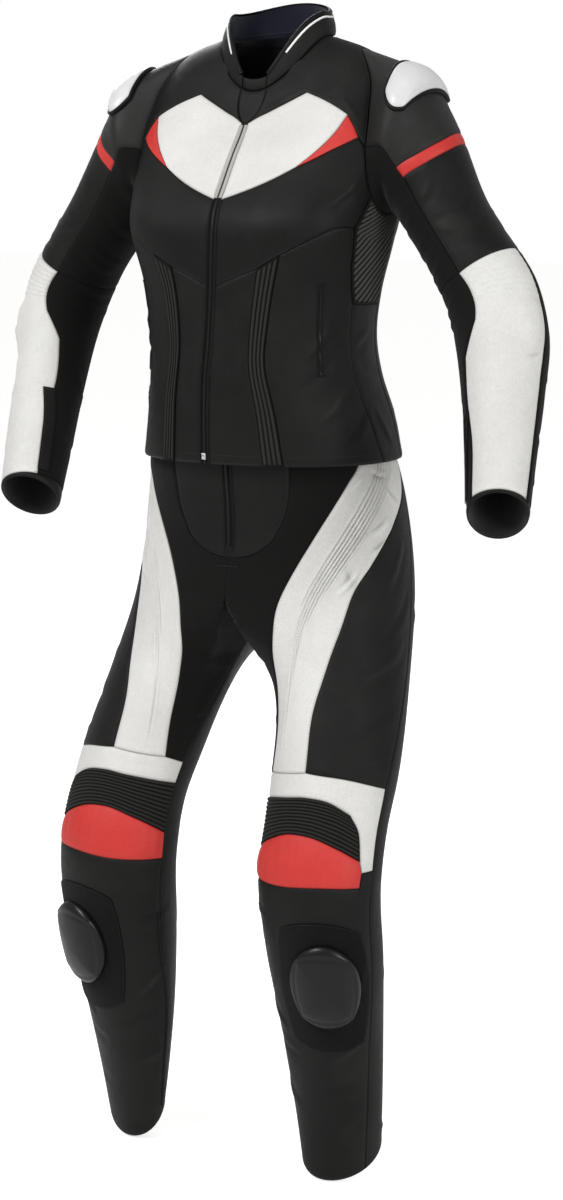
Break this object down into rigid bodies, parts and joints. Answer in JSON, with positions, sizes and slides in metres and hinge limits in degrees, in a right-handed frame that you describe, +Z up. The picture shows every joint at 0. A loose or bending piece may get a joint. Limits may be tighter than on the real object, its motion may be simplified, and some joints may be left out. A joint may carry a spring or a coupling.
{
  "type": "motorcycle race suit",
  "caption": "Worn two-piece motorcycle race suit with no wearer: hollow leather jacket and trousers with ribbed stretch panels, shoulder cups and knee sliders.",
  "frame": {"origin": "centre of the neck opening at the neck's base, where the wearer's shoulders hold the suit up", "axes": "+Z up, -Y the front of the suit, +X the wearer's left"},
  "size_m": [0.7872, 0.3509, 1.4046],
  "materials": {
    "black_leather": "semi-matt grained leather",
    "white_leather": "semi-matt smooth leather",
    "red_leather": "semi-matt smooth leather",
    "stretch_cloth": "matt woven stretch cloth",
    "hard_white": "satin moulded plastic",
    "hard_black": "satin moulded plastic",
    "velcro": "matt hook-and-loop pile",
    "zip_metal": "dark plated metal teeth on black tape"
  },
  "bodies": {
    "root": {"arm_stripe_l": "red_leather", "arm_stripe_r": "red_leather", "back_panel": "black_leather", "bust_panel_l": "black_leather", "bust_panel_r": "black_leather", "chest_panel_l": "white_leather", "chest_panel_r": "white_leather", "chest_wedge_l": "red_leather", "chest_wedge_r": "red_leather", "collar": "black_leather", "cuff_l": "black_leather", "cuff_r": "black_leather", "fly_yoke": "black_leather", "fly_zip": "zip_metal", "forearm_l": "white_leather", "forearm_r": "white_leather", "forearm_under_l": "stretch_cloth", "forearm_under_r": "stretch_cloth", "front_gusset_l": "stretch_cloth", "front_gusset_r": "stretch_cloth", "front_panel_l": "black_leather", "front_panel_r": "black_leather", "front_yoke_l": "black_leather", "front_yoke_r": "black_leather", "front_zip": "zip_metal", "knee_band_l": "white_leather", "knee_band_r": "white_leather", "knee_cap_l": "red_leather", "knee_cap_r": "red_leather", "knee_ribs_l": "stretch_cloth", "knee_ribs_r": "stretch_cloth", "knee_slider_l": "hard_black", "knee_slider_r": "hard_black", "leg_back_l": "black_leather", "leg_back_r": "black_leather", "outer_thigh_l": "black_leather", "outer_thigh_r": "black_leather", "princess_insert_l": "stretch_cloth", "princess_insert_r": "stretch_cloth", "shin_panel_l": "black_leather", "shin_panel_r": "black_leather", "shoulder_cup_l": "hard_white", "shoulder_cup_r": "hard_white", "shoulder_panel_l": "black_leather", "shoulder_panel_r": "black_leather", "side_back_l": "black_leather", "side_back_r": "black_leather", "side_front_l": "black_leather", "side_front_r": "black_leather", "side_stretch_l": "stretch_cloth", "side_stretch_r": "stretch_cloth", "sleeve_under_l": "stretch_cloth", "sleeve_under_r": "stretch_cloth", "slider_patch_l": "velcro", "slider_patch_r": "velcro", "thigh_panel_l": "white_leather", "thigh_panel_r": "white_leather", "throat_flap": "black_leather", "upper_arm_l": "black_leather", "upper_arm_r": "black_leather"}
  },
  "joints": []
}
